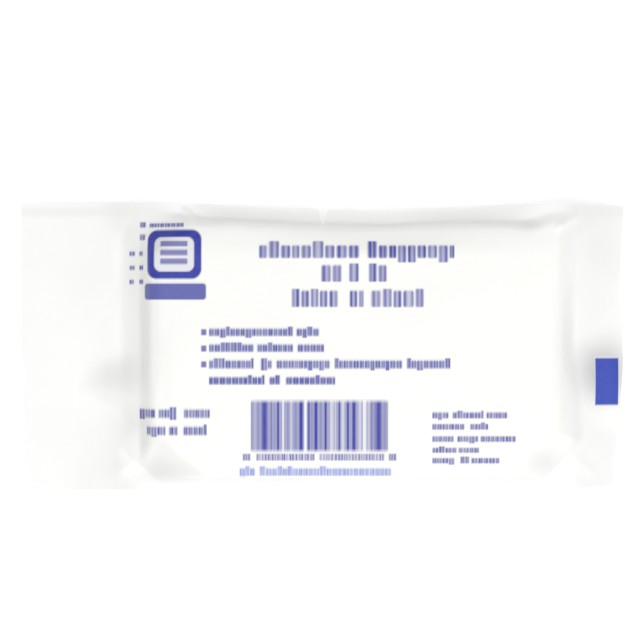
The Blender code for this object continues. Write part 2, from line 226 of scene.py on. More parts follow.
# the back film leaves the front film's forms as the walls rise, and then dips to the table
backSheet = {"sealedTo": 4, "dip": 1.15, "lowest": 0.15}

# around the tear notch it is sealed to the front film's wall too
notchSeal = {"at": 0.5, "halfWidth": 2.6, "fade": 6.0, "from": 28.2, "to": 30.8, "shift": 0.35, "shiftRise": 8}

# and along the whole upper edge, where the margin is narrow
edgeSeal = {"width": 2.4, "fade": 1.5}

# beside the pocket's corners both films stay high and come down slowly
mounds = [
    {"at": (64.0, -11.0), "reach": (11.0, 15.0), "rise": 1.8},
    {"at": (-47.5, -31.5), "reach": (24.0, 17.0), "rise": 1.5},
    {"at": (59.0, 29.0), "reach": (21.0, 30.0), "rise": 5.6},
    {"at": (-43.0, 38.0), "reach": (15.0, 13.0), "rise": 2.6},
]

# the top sinks towards the upper side
shoulder = {
    "from": 23.5,
    "to": 32.5,
    "sink": [(-50, 0.5), (-20, 1.0), (0, 1.9), (20, 1.9), (36, 1.5), (48, 0.9), (64, 0.4)],
}


def valueAt(table, place):
    places, values = zip(*table)
    return np.interp(place, places, values)


def smoothAt(table, place):
    # the same with no kinks at the table's places
    places, values = (np.array(row) for row in zip(*table))
    k = np.clip(np.searchsorted(places, place) - 1, 0, len(places) - 2)
    return values[k] + (values[k + 1] - values[k]) * eased((place - places[k]) / (places[k + 1] - places[k]))


def toOutline(x, y):
    # the margins' points move in until the sheet ends on the outline
    leftEdge, rightEdge = valueAt(wrapper["leftEdge"], y), valueAt(wrapper["rightEdge"], y)
    lowerEdge, upperEdge = valueAt(wrapper["lowerEdge"], x), valueAt(wrapper["upperEdge"], x)
    right, upper = wrapper["size"][0] / 2, wrapper["size"][1] / 2
    left, lower = -right, -upper
    footLeft, footRight = wrapper["footLeft"], wrapper["footRight"]
    footLower, footUpper = wrapper["footLower"], wrapper["footUpper"]
    newX = np.where(x < footLeft, footLeft + (x - footLeft) * (footLeft - leftEdge) / (footLeft - left), x)
    newX = np.where(x > footRight, footRight + (x - footRight) * (rightEdge - footRight) / (right - footRight), newX)
    newY = np.where(y < footLower, footLower + (y - footLower) * (footLower - lowerEdge) / (footLower - lower), y)
    newY = np.where(y > footUpper, footUpper + (y - footUpper) * (upperEdge - footUpper) / (upper - footUpper), newY)
    return newX, newY


def foldHeight(fold, x, y):
    # highest at its start, falling away to nothing at its end and on both sides
    startX, startY = fold["start"]
    stepX, stepY = fold["end"][0] - startX, fold["end"][1] - startY
    length = math.hypot(stepX, stepY)
    along = ((x - startX) * stepX + (y - startY) * stepY) / length**2
    aside = ((x - startX) * stepY - (y - startY) * stepX) / length
    narrowing = np.clip(1 - fold["narrowing"] * along, 0.2, 1.3)
    reach = np.where(aside < 0, fold["leftReach"], fold["rightReach"]) * narrowing
    slope = np.clip(1 - np.abs(aside) / reach, 0, 1)
    section = 0.25 * slope + 0.75 * eased(slope)  # a crest that is a little sharp
    return fold["rise"] * section * eased(1 - along) * eased((along + 0.25) * 4)


def creaseHeight(crease, x, y):
    # an even ridge that runs out at both ends
    startX, startY = crease["start"]
    stepX, stepY = crease["end"][0] - startX, crease["end"][1] - startY
    length = math.hypot(stepX, stepY)
    along = ((x - startX) * stepX + (y - startY) * stepY) / length**2
    aside = np.abs((x - startX) * stepY - (y - startY) * stepX) / length
    ridge = np.clip(1 - aside / crease["width"], 0, 1)
    ends = np.clip(np.minimum(along, 1 - along) * 3.2, 0, 1)
    return crease["rise"] * ridge**1.25 * ends


def swellingHeight(swelling, x, y):
    away = np.hypot((x - swelling["at"][0]) / swelling["reach"][0], (y - swelling["at"][1]) / swelling["reach"][1])
    return swelling["rise"] * (1 - eased(away))


def paintedShadeShare(x, y):
    # painted shade: how far the film's colour is darkened at each point
    share = np.zeros_like(x)
    for paintedShade in paintedShades:
        share = np.maximum(share, swellingHeight({**paintedShade, "rise": paintedShade["share"]}, x, y))
    return share


def waves(x, y, length, seed):
    # a gentle uneven waviness from a few crossing sine waves
    made = np.zeros_like(x)
    for k in range(5):
        turn = seed + 2.4 * k
        size = length * (0.7 + 0.21 * k)
        made += np.sin(2 * np.pi * (x * math.cos(turn) + y * math.sin(turn)) / size + 1.7 * seed + k)
    return made / 5


def waveHeight(sets, x, y):
    return sum(waves(x, y, each["length"], each["seed"]) * each["height"] for each in sets)


def ridgeAt(ridge, y):
    return ridge["x"] + (y - ridge["y"]) * ridge["slant"]


def rampShare(x, y):
    # 0 at the ramps' feet and 1 from their ridges inward
    footLeft, footRight = cornerRamps["feet"]
    ridgeLeft, ridgeRight = (
        np.where(y < 0, ridgeAt(lower, y), ridgeAt(upper, y))
        for lower, upper in zip(cornerRamps["lowerRidges"], cornerRamps["upperRidges"])
    )
    rampLeft = (x - footLeft) / (ridgeLeft - footLeft)
    rampRight = (footRight - x) / (footRight - ridgeRight)
    ramp = softMin(rampLeft, rampRight, cornerRamps["middleSoft"])
    ramp = -softMin(-ramp, np.zeros_like(x), cornerRamps["footSoft"])
    return softMin(ramp, np.ones_like(ramp), cornerRamps["ridgeSoft"])


def sealHeight(x, y):
    # low in the end margins, higher along the long sides, with a straight ramp at each corner
    beyondLeft = np.clip(wrapper["footLeft"] - x, 0, None)
    beyondRight = np.clip(x - wrapper["footRight"], 0, None)
    nearFoot = np.exp(-((beyondLeft + beyondRight) / wrapper["endReach"]) ** 1.5)
    footLevel = np.where(x < 0, *wrapper["footLevel"])
    ends = wrapper["endLevel"] + (footLevel - wrapper["endLevel"]) * nearFoot
    ramp = rampShare(x, y)
    out = np.clip(np.maximum(wrapper["footLower"] - y, y - wrapper["footUpper"]), 0, None)
    shelf = wrapper["shelfLevel"] - (out / wrapper["shelfWidth"]) ** 1.2 * np.where(y < 0, *wrapper["shelfDroop"])
    nearSide = eased((np.abs(y - wrapper["pocketCentre"][1]) - wrapper["shelfFrom"]) / wrapper["shelfOver"])
    level = ends + (shelf - ends) * ramp * nearSide
    for mound in mounds:
        level += swellingHeight(mound, x, y)
    hang = wrapper["edgeDroop"] * eased((y - wrapper["edgeDroopFrom"]) / wrapper["edgeDroopOver"])
    return level - hang * (1 - ramp) + waveHeight(sealWaves, x, y)


def pocketShare(x, y):
    # 0 at the feet of the walls and 1 on the level top
    share = np.full_like(x, 1.0)
    for wall in (*walls.values(), *facets.values()):
        out = -(x - wall["at"][0]) * wall["inward"][0] - (y - wall["at"][1]) * wall["inward"][1]
        if "bend" in wall:
            out = (out + smoothAt(wall["bend"], x)) / smoothAt(wall["spread"], x)
        if "flare" in wall:
            out = out / (1 + wall["flare"] * eased((wall["flareFrom"] - y) / wall["flareOver"]))
        if "run" in wall:
            fall = -softMin(out / wall["run"] - 1, np.zeros_like(x), wall["soft"])
        else:
            fall = 1 - (1 - wall["footShare"]) * eased(out / wall["steep"])
            fall = fall - wall["footShare"] * eased(out / (wall["steep"] + wall["foot"]))
        height = np.where(out < 0, 1 - rimSoft * out / wall["round"], np.clip(fall, 0, None))
        share = softMin(share, height, rimSoft)
    return np.clip(share, 0, None)


def frontHeight(x, y):
    acrossX = (x - wrapper["pocketCentre"][0]) / wrapper["crownReach"][0]
    acrossY = (y - wrapper["pocketCentre"][1]) / wrapper["crownReach"][1]
    crown = wrapper["crown"] * np.clip(1 - acrossX**4, 0, 1) * np.clip(1 - acrossY**2, 0, 1)
    sinking = eased((y - shoulder["from"]) / (shoulder["to"] - shoulder["from"]))
    top = wrapper["topHeight"] + crown - valueAt(shoulder["sink"], x) * sinking
    seal = sealHeight(x, y)
    share = pocketShare(x, y)
    height = seal + (top - seal) * share
    for fold in folds:
        height += foldHeight(fold, x, y) * (1 - share)
    for crease in creases:
        height += creaseHeight(crease, x, y)
    for swelling in swellings:
        height += swellingHeight(swelling, x, y)
    return height + waveHeight(filmWaves, x, y)


def backHeight(x, y):
    # the seal lies under the front film's and shares its forms, and the pocket dips to the table
    share = pocketShare(x, y)
    sealed = np.clip(1 - share * backSheet["sealedTo"], 0, 1)
    height = sealHeight(x, y) * (1 - eased(share * backSheet["dip"]))
    for fold in folds:
        height += foldHeight(fold, x, y) * (1 - share)
    for swelling in swellings:
        height += swellingHeight(swelling, x, y) * sealed
    for crease in creases:
        height += creaseHeight(crease, x, y) * sealed
    height += waveHeight(filmWaves, x, y) * sealed
    nearNotch = 1 - eased((np.abs(x - notchSeal["at"]) - notchSeal["halfWidth"]) / notchSeal["fade"])
    nearNotch = nearNotch * eased((y - notchSeal["from"]) / (notchSeal["to"] - notchSeal["from"]))
    nearEdge = eased((y - valueAt(wrapper["upperEdge"], x) + edgeSeal["width"]) / edgeSeal["fade"])
    underFront = frontHeight(x, y + notchSeal["shift"] * np.clip(share * notchSeal["shiftRise"], 0, 1))
    height = height + (np.maximum(underFront, height) - height) * np.maximum(nearNotch, nearEdge)
    return np.clip(height, backSheet["lowest"], None)


# ---- materials
def newMaterial(name):
    material = bpy.data.materials.new(name)
    material.use_nodes = True
    nodes = material.node_tree.nodes
    links = material.node_tree.links
    return material, nodes, links, nodes["Principled BSDF"]


def addNode(nodes, kind, **values):
    node = nodes.new(kind)
    for name, value in values.items():
        if name in node.inputs:
            node.inputs[name].default_value = value
        else:
            setattr(node, name, value)
    return node


filmLook = {
    "overPack": (0.912, 0.908, 0.886, 1),  # a touch of cream where the gauze lies behind it
    "overSeal": (0.912, 0.912, 0.900, 1),
    "paintedShadeTint": (0.52, 0.52, 0.54, 1),  # painted shade, times the film's own colour
    "cloud": {"Scale": 55, "Detail": 3},
    "tone": {"To Min": 0.975, "To Max": 1.02},
    "roughness": {"To Min": 0.29, "To Max": 0.42},
    "crinkle": {"Scale": 170, "Detail": 4, "Distortion": 0.8},
    "crinkleBump": {"Strength": 0.16, "Distance": 0.0006},
    "grain": {"Scale": 2600, "Detail": 2},
    "grainBump": {"Strength": 0.10, "Distance": 0.00005},
}


def filmMaterial(name, look):
    material, nodes, links, shader = newMaterial(name)
    place = addNode(nodes, "ShaderNodeTexCoord")
    pack = addNode(nodes, "ShaderNodeAttribute", attribute_name="overPack")
    mix = addNode(nodes, "ShaderNodeMix", data_type="RGBA")
    mix.inputs["A"].default_value = look["overSeal"]
    mix.inputs["B"].default_value = look["overPack"]
    links.new(pack.outputs["Fac"], mix.inputs["Factor"])
    cloud = addNode(nodes, "ShaderNodeTexNoise", **look["cloud"])
    links.new(place.outputs["Object"], cloud.inputs["Vector"])
    tone = addNode(nodes, "ShaderNodeMapRange", **look["tone"])
    links.new(cloud.outputs["Fac"], tone.inputs["Value"])
    shade = addNode(nodes, "ShaderNodeMix", data_type="RGBA", blend_type="MULTIPLY")
    shade.inputs["Factor"].default_value = 1
    # painted shade: the film's colour is multiplied towards grey by the shade share on its points
    paintedShade = addNode(nodes, "ShaderNodeAttribute", attribute_name="paintedShade")
    shadeDarkening = addNode(nodes, "ShaderNodeMix", data_type="RGBA", blend_type="MULTIPLY")
    shadeDarkening.inputs["B"].default_value = look["paintedShadeTint"]
    links.new(paintedShade.outputs["Fac"], shadeDarkening.inputs["Factor"])
    links.new(mix.outputs["Result"], shadeDarkening.inputs["A"])
    links.new(shadeDarkening.outputs["Result"], shade.inputs["A"])
    links.new(tone.outputs["Result"], shade.inputs["B"])
    links.new(shade.outputs["Result"], shader.inputs["Base Color"])
    crinkle = addNode(nodes, "ShaderNodeTexNoise", **look["crinkle"])
    grain = addNode(nodes, "ShaderNodeTexNoise", **look["grain"])
    for texture in (crinkle, grain):
        links.new(place.outputs["Object"], texture.inputs["Vector"])
    broad = addNode(nodes, "ShaderNodeBump", **look["crinkleBump"])
    fine = addNode(nodes, "ShaderNodeBump", **look["grainBump"])
    links.new(crinkle.outputs["Fac"], broad.inputs["Height"])
    links.new(grain.outputs["Fac"], fine.inputs["Height"])
    links.new(broad.outputs["Normal"], fine.inputs["Normal"])
    links.new(fine.outputs["Normal"], shader.inputs["Normal"])
    rough = addNode(nodes, "ShaderNodeMapRange", **look["roughness"])
    links.new(cloud.outputs["Fac"], rough.inputs["Value"])
    links.new(rough.outputs["Result"], shader.inputs["Roughness"])
    return material


# the strength on an ink piece's points thins the ink until the film's own colour is left
inkLook = {
    "ink": (0.022, 0.030, 0.31, 1),
    "worn": (0.050, 0.065, 0.40, 1),
    "dots": {"Scale": 900, "Detail": 3},
    "bump": {"Strength": 0.1, "Distance": 0.00003},
    "roughness": 0.45,
    "gloss": 0.3,
}
markLook = {**inkLook, "ink": (0.044, 0.074, 0.43, 1), "worn": (0.062, 0.098, 0.48, 1)}
paleInkLook = {**inkLook, "ink": (0.14, 0.20, 0.62, 1), "worn": (0.30, 0.36, 0.74, 1)}


def inkMaterial(name, look):
    material, nodes, links, shader = newMaterial(name)
    place = addNode(nodes, "ShaderNodeTexCoord")
    dots = addNode(nodes, "ShaderNodeTexNoise", **look["dots"])
    links.new(place.outputs["Object"], dots.inputs["Vector"])
    mix = addNode(nodes, "ShaderNodeMix", data_type="RGBA")
    mix.inputs["A"].default_value = look["ink"]
    mix.inputs["B"].default_value = look["worn"]
    links.new(dots.outputs["Fac"], mix.inputs["Factor"])
    strength = addNode(nodes, "ShaderNodeAttribute", attribute_name="strength")
    printed = addNode(nodes, "ShaderNodeMix", data_type="RGBA")
    printed.inputs["A"].default_value = filmLook["overPack"]
    links.new(strength.outputs["Fac"], printed.inputs["Factor"])
    links.new(mix.outputs["Result"], printed.inputs["B"])
    links.new(printed.outputs["Result"], shader.inputs["Base Color"])
    grain = addNode(nodes, "ShaderNodeBump", **look["bump"])
    links.new(dots.outputs["Fac"], grain.inputs["Height"])
    links.new(grain.outputs["Normal"], shader.inputs["Normal"])
    shader.inputs["Roughness"].default_value = look["roughness"]
    shader.inputs["Specular IOR Level"].default_value = look["gloss"]
    return material


gauzeLook = {
    "thread": (0.86, 0.84, 0.79, 1),
    "gap": (0.55, 0.53, 0.49, 1),
    "weave": {"Scale": 900, "Distortion": 1.5, "Detail": 1},
    "openness": 0.15,
    "bump": {"Strength": 0.6, "Distance": 0.0002},
    "roughness": 0.9,
    "sheen": 0.25,
}
padLook = {**gauzeLook, "gap": (0.78, 0.77, 0.73, 1), "weave": {**gauzeLook["weave"], "Scale": 420}, "openness": 0.0}


def gauzeMaterial(name, look):
    # two crossed sets of threads with an uneven stretch
    material, nodes, links, shader = newMaterial(name)
    place = addNode(nodes, "ShaderNodeTexCoord")
    warp = addNode(nodes, "ShaderNodeTexWave", **look["weave"])
    weft = addNode(nodes, "ShaderNodeTexWave", **look["weave"])
    weft.bands_direction = "Y"
    for wave in (warp, weft):
        links.new(place.outputs["Object"], wave.inputs["Vector"])
    weave = addNode(nodes, "ShaderNodeMath", operation="MAXIMUM")
    links.new(warp.outputs["Fac"], weave.inputs[0])
    links.new(weft.outputs["Fac"], weave.inputs[1])
    mix = addNode(nodes, "ShaderNodeMix", data_type="RGBA")
    mix.inputs["A"].default_value = look["gap"]
    mix.inputs["B"].default_value = look["thread"]
    shift = addNode(nodes, "ShaderNodeMapRange")
    shift.inputs["From Min"].default_value = look["openness"]
    links.new(weave.outputs["Value"], shift.inputs["Value"])
    links.new(shift.outputs["Result"], mix.inputs["Factor"])
    links.new(mix.outputs["Result"], shader.inputs["Base Color"])
    bump = addNode(nodes, "ShaderNodeBump", **look["bump"])
    links.new(weave.outputs["Value"], bump.inputs["Height"])
    links.new(bump.outputs["Normal"], shader.inputs["Normal"])
    shader.inputs["Roughness"].default_value = look["roughness"]
    shader.inputs["Sheen Weight"].default_value = look["sheen"]
    return material


whiteFilm = filmMaterial("whiteFilm", filmLook)
blueInk = inkMaterial("blueInk", inkLook)
markInk = inkMaterial("markInk", markLook)
paleInk = inkMaterial("paleInk", paleInkLook)
gauzeCloth = gauzeMaterial("stretchGauze", gauzeLook)
padFacing = gauzeMaterial("padFacing", padLook)
print("materials ready")


# ---- the two films
filmSheet = {
    "cell": 0.55,  # millimetres between a sheet's lines, the same in both so that they lie flat together
    "thickness": 0.12,
    "sealGap": 0.04,
    "packTone": (1.3, 0.15),  # how fast and how late the tone over the pack comes in on the walls
    "smoothAngle": 70,
    "cut": (0.084, 0.164),  # metres, before the pocket was drawn up over the pack
    "restsOn": {"frontFilm": ["upperTail"], "backFilm": []},
}


def addSheet(name, cell, heightOf, material):
    # a flat grid laid to the outline and raised to its height, point by point
    deselectAll()
    length, width = wrapper["size"]
    bpy.ops.mesh.primitive_grid_add(x_subdivisions=round(length / cell), y_subdivisions=round(width / cell), size=1)
    sheet = bpy.context.object
    sheet.name = name
    sheet.data.name = name
    points = np.empty(len(sheet.data.vertices) * 3)
    sheet.data.vertices.foreach_get("co", points)
    points = points.reshape(-1, 3)
    x, y = toOutline(points[:, 0] * length, points[:, 1] * width)
    points[:, 0], points[:, 1], points[:, 2] = x * mm, y * mm, heightOf(x, y) * mm
    sheet.data.vertices.foreach_set("co", points.ravel())
    gain, delay = filmSheet["packTone"]
    # the second attribute is the share of painted shade on each point
    for attribute, values in (("overPack", eased(pocketShare(x, y) * gain - delay)), ("paintedShade", paintedShadeShare(x, y))):
        sheet.data.attributes.new(attribute, "FLOAT", "POINT").data.foreach_set("value", values)
    sheet.data.materials.append(material)
    sheet.data.update()
    return sheet


# what is cut out of both films' edges, as corners in millimetres
cutOutlines = {
    "tearNotch": [(-2.0, 38.5), (-1.1, 36.2), (-0.5, 33.6), (0.3, 31.3), (0.8, 33.6), (1.4, 35.0), (2.4, 36.0),
                  (3.2, 38.5)],
    "edgeNick": [(-80, -5.4), (-77.6, -5.6), (-76.9, -6.4), (-76.8, -8.0), (-77.2, -10.0), (-78.4, -12.0),
                 (-80, -12.6)],
}
cutterReach = (-5, 15)  # from below the table to above the pocket


def addCutter(name, corners):
    low, high = cutterReach
    deselectAll()
    bpy.ops.mesh.primitive_plane_add(size=1)
    cutter = bpy.context.object
    cutter.name = name
    bm = bmesh.new()
    base = [bm.verts.new((px * mm, py * mm, low * mm)) for px, py in corners]
    face = bm.faces.new(base)
    grown = bmesh.ops.extrude_face_region(bm, geom=[face])
    top = [v for v in grown["geom"] if isinstance(v, bmesh.types.BMVert)]
    bmesh.ops.translate(bm, verts=top, vec=(0, 0, (high - low) * mm))
    bmesh.ops.recalc_face_normals(bm, faces=list(bm.faces))
    bm.to_mesh(cutter.data)
    bm.free()
    return cutter


def cutWith(piece, cutters):
    for cutter in cutters:
        cut = piece.modifiers.new(cutter.name, "BOOLEAN")
        cut.object = cutter
        cut.solver = "EXACT"
    applyModifiers(piece)


def thicken(piece, thickness, offset):
    wall = piece.modifiers.new("wall", "SOLIDIFY")
    wall.thickness = thickness * mm
    wall.offset = offset
    applyModifiers(piece)


cutters = [addCutter(name, corners) for name, corners in cutOutlines.items()]
halfGap = filmSheet["sealGap"] / 2
frontFilm = addSheet("frontFilm", filmSheet["cell"], lambda x, y: frontHeight(x, y) + halfGap, whiteFilm)
backFilm = addSheet("backFilm", filmSheet["cell"], lambda x, y: backHeight(x, y) - halfGap, whiteFilm)
thicken(frontFilm, filmSheet["thickness"], 1)
thicken(backFilm, filmSheet["thickness"], -1)
for film in (frontFilm, backFilm):
    cutWith(film, cutters)
    shadeSmooth(film, filmSheet["smoothAngle"])
for cutter in cutters:
    bpy.data.objects.remove(cutter)
print("films", len(frontFilm.data.polygons), len(backFilm.data.polygons))

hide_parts("front_film")
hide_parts("back_film")
for film, slotName in ((frontFilm, "front_film"), (backFilm, "back_film")):
    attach(film, "root")


# ---- the bandage inside: a folded pad between two gauze tails that are folded to and fro
bandage = {
    "middle": (8.25, -1.3),
    "length": 101.6,
    "tailWidth": 58.8,
    "padWidth": 50.8,
    "tailLayers": 4,
    "gauze": 0.7,
    "padLeaf": 2.0,
    "foldGap": 0.3,
    "seat": 0.3,
    "clearance": 0.35,  # from the pack to the films
    "turnSteps": 6,
    "lengthLines": 72,
    "widthLines": 30,
    "squeeze": 0.012,  # how far it draws in where the pocket is low
    "smoothAngle": 50,
}


def foldedSection(layers, thickness, width, low):
    # the outline of a strip folded to and fro, as (across, height) points
    radius = (thickness + bandage["foldGap"]) / 2
    half = width / 2 - radius - thickness / 2
    line = []
    for layer in range(layers):
        side = 1 if layer % 2 == 0 else -1
        level = low + thickness / 2 + layer * (thickness + bandage["foldGap"])
        line += [(side * y, level) for y in np.linspace(-half, half, bandage["widthLines"])]
        if layer < layers - 1:
            for step in range(1, bandage["turnSteps"]):
                angle = math.pi * step / bandage["turnSteps"]
                line.append((side * (half + radius * math.sin(angle)), level + radius * (1 - math.cos(angle))))
    line = np.array(line)
    steps = np.gradient(line, axis=0)
    steps /= np.linalg.norm(steps, axis=1)[:, None]
    aside = np.stack([-steps[:, 1], steps[:, 0]], axis=1) * thickness / 2
    return np.concatenate([line - aside, (line + aside)[::-1]])


def addFolded(name, layers, thickness, width, low, total, material):
    # the section is carried along the pack and pressed into the room that the films leave
    section = foldedSection(layers, thickness, width, low)
    middleX, middleY = bandage["middle"]
    places = middleX + np.linspace(-0.5, 0.5, bandage["lengthLines"]) * bandage["length"]
    x = np.repeat(places[:, None], len(section), axis=1)
    y = middleY + np.repeat(section[None, :, 0], len(places), axis=0)
    squeeze = 1 - bandage["squeeze"] * (1 - np.clip(pocketShare(x, y), 0, 1))
    x, y = middleX + (x - middleX) * squeeze, middleY + (y - middleY) * squeeze
    floorLevel = backHeight(x, y) + bandage["clearance"]
    ceiling = frontHeight(x, y) - bandage["clearance"]
    z = floorLevel + (ceiling - floorLevel) * section[None, :, 1] / total
    count = len(section)
    bm = bmesh.new()
    rows = [[bm.verts.new((x[i, j] * mm, y[i, j] * mm, z[i, j] * mm)) for j in range(count)]
            for i in range(len(places))]
    for row, following in zip(rows, rows[1:]):
        for j in range(count):
            k = (j + 1) % count
            bm.faces.new((row[j], row[k], following[k], following[j]))
    for row in (rows[0], rows[-1]):
        for j in range(count // 2 - 1):
            bm.faces.new((row[j], row[j + 1], row[count - 2 - j], row[count - 1 - j]))
    bmesh.ops.recalc_face_normals(bm, faces=list(bm.faces))
    mesh = bpy.data.meshes.new(name)
    bm.to_mesh(mesh)
    bm.free()
    piece = bpy.data.objects.new(name, mesh)
    bpy.context.scene.collection.objects.link(piece)
    mesh.materials.append(material)
    shadeSmooth(piece, bandage["smoothAngle"])
    return piece


tailHeight = bandage["tailLayers"] * bandage["gauze"] + (bandage["tailLayers"] - 1) * bandage["foldGap"]
padHeight = 2 * bandage["padLeaf"] + bandage["foldGap"]
padLow = tailHeight + bandage["seat"]
upperLow = padLow + padHeight + bandage["seat"]
packHeight = upperLow + tailHeight
tailFacts = (bandage["tailLayers"], bandage["gauze"], bandage["tailWidth"])
lowerTail = addFolded("lowerTail", *tailFacts, 0, packHeight, gauzeCloth)
upperTail = addFolded("upperTail", *tailFacts, upperLow, packHeight, gauzeCloth)
foldedPad = addFolded("foldedPad", 2, bandage["padLeaf"], bandage["padWidth"], padLow, packHeight, padFacing)
for piece, node, slotName in (
    (lowerTail, "lower_tail", "gauze"), (upperTail, "upper_tail", "gauze"), (foldedPad, "pad", "pad_facing")
):
    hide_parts(node)
    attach(piece, "root")
print("bandage folded, height", round(packHeight, 2), "mm")


# ---- the print, as soft blocks of ink laid on the film
printing = {
    "column": 0.20,  # millimetres between the ink cells' upright lines
    "row": 0.34,
    "soft": 0.34,  # how far the ink fades at its edges
    "proud": 0.06,  # the ink's height above the film
    "body": 0.02,
    "dropFrom": 40,  # the ink starts above the wrapper and drops onto the film
    "faintest": 0.04,  # cells with less ink than this are left out
    "rounding": 0.4,
    "smoothAngle": 40,
}


def toPlace(px, py):
    # from a pixel of the photograph to millimetres on the wrapper
    centreX, centreY = cameraSetup["wrapperCentre"]
    return (px - centreX) / cameraSetup["pixelsPerMm"], (centreY - py) / cameraSetup["pixelsPerMm"]


def addInk(name, box, cover, material, row=printing["row"]):
    # a fine grid over the box, kept where there is ink, with the ink's strength on its points
    (left, top), (right, bottom) = toPlace(box[0], box[1]), toPlace(box[2], box[3])
    width, height = right - left, top - bottom
    deselectAll()
    bpy.ops.mesh.primitive_grid_add(
        x_subdivisions=max(3, round(width / printing["column"])), y_subdivisions=max(3, round(height / row)), size=1
    )
    ink = bpy.context.object
    ink.name = name
    ink.data.name = name
    points = np.empty(len(ink.data.vertices) * 3)
    ink.data.vertices.foreach_get("co", points)
    points = points.reshape(-1, 3)
    strength = np.clip(cover((points[:, 0] + 0.5) * width, (points[:, 1] + 0.5) * height, width, height), 0, 1)
    points[:, 0] = ((left + right) / 2 + points[:, 0] * width) * mm
    points[:, 1] = ((top + bottom) / 2 + points[:, 1] * height) * mm
    points[:, 2] = printing["dropFrom"] * mm
    ink.data.vertices.foreach_set("co", points.ravel())
    ink.data.attributes.new("strength", "FLOAT", "POINT").data.foreach_set("value", strength)
    corners = np.empty(len(ink.data.polygons) * 4, dtype=np.int32)
    ink.data.polygons.foreach_get("vertices", corners)
    bare = strength[corners.reshape(-1, 4)].max(axis=1) < printing["faintest"]
    bpy.ops.object.mode_set(mode="EDIT")
    bpy.ops.mesh.select_all(action="DESELECT")
    bpy.ops.object.mode_set(mode="OBJECT")
    ink.data.polygons.foreach_set("select", bare)
    bpy.ops.object.mode_set(mode="EDIT")
    bpy.ops.mesh.delete(type="FACE")
    bpy.ops.object.mode_set(mode="OBJECT")
    lay = ink.modifiers.new("lie on the film", "SHRINKWRAP")
    lay.target = frontFilm
    lay.wrap_method = "PROJECT"
    lay.use_project_z = True
    lay.use_negative_direction = True
    lay.use_positive_direction = False
    lay.offset = printing["proud"] * mm
    body = ink.modifiers.new("ink body", "SOLIDIFY")
    body.thickness = printing["body"] * mm
    body.offset = -1
    applyModifiers(ink)
    ink.data.materials.append(material)
    shadeSmooth(ink, printing["smoothAngle"])
    return ink


def blockCover(x, y, left, right, low, high, soft=printing["soft"], rounding=printing["rounding"]):
    # 1 inside a rounded block and 0 outside, fading over its edge
    halfWide, halfTall = (right - left) / 2, (high - low) / 2
    corner = rounding * min(halfWide, halfTall)
    pastX = np.abs(x - (left + right) / 2) - halfWide + corner
    pastY = np.abs(y - (low + high) / 2) - halfTall + corner
    away = np.hypot(np.clip(pastX, 0, None), np.clip(pastY, 0, None)) + np.minimum(np.maximum(pastX, pastY), 0) - corner
    return np.clip(0.5 - away / soft, 0, 1)


# a block's two upright strokes: where they stand in it, how far they stray and how strong they are
strokeSetup = {"places": (0.22, 0.78), "stray": 0.08, "strength": (0.5, 1)}


def textCover(line):
    # each word is a row of blocks, and each block has a pale ground with darker upright strokes
    draw = random.Random(line["seed"])

    def cover(x, y, width, height):
        made = np.zeros_like(x)
        for start, end in line["words"]:
            place = start * width
            while place < end * width - 0.5 * line["widths"][0]:
                across = min(draw.uniform(*line["widths"]), end * width - place)
                low = 0 if draw.random() < line["drops"] else line["low"]
                high = 1 if draw.random() < line["rises"] else line["high"]
                block = blockCover(x, y, place, place + across, low * height + 0.1, high * height - 0.1)
                strokes = np.zeros_like(x)
                for stand in strokeSetup["places"]:
                    at = place + across * (stand + draw.uniform(-strokeSetup["stray"], strokeSetup["stray"]))
                    stroke = draw.uniform(*strokeSetup["strength"]) * np.exp(-((x - at) / line["stroke"]) ** 2)
                    strokes = np.maximum(strokes, stroke)
                made = np.maximum(made, block * (line["ground"] + (1 - line["ground"]) * strokes))
                place += across + line["gap"]
        return made
    return cover


# the rows of blocks: their boxes are pixels of the photograph, and each word has its start and end as shares of the
# box's width. "rises" and "drops" say how often a block is taller or hangs lower than the rest.
bigMarks = {"widths": (1.9, 2.9), "gap": 0.34, "stroke": 0.46, "ground": 0.50, "rises": 0.25, "drops": 0.08,
            "low": 0.20, "high": 0.80}
smallMarks = {"widths": (1.0, 1.7), "gap": 0.06, "stroke": 0.30, "ground": 0.52, "rises": 0.18, "drops": 0.06,
              "low": 0.16, "high": 0.82}
headingLines = [
    {"box": (260, 242, 452, 264), "words": [(0, 0.515), (0.555, 1)], "seed": 3},
    {"box": (321, 264, 390, 283), "words": [(0, 0.30), (0.40, 0.60), (0.68, 1)], "seed": 5, "low": 0.0, "high": 0.9},
    {"box": (292, 289, 422, 308), "words": [(0, 0.38), (0.44, 0.545), (0.60, 1)], "seed": 8, "low": 0.02, "high": 0.9,
     "ground": 0.40},
]
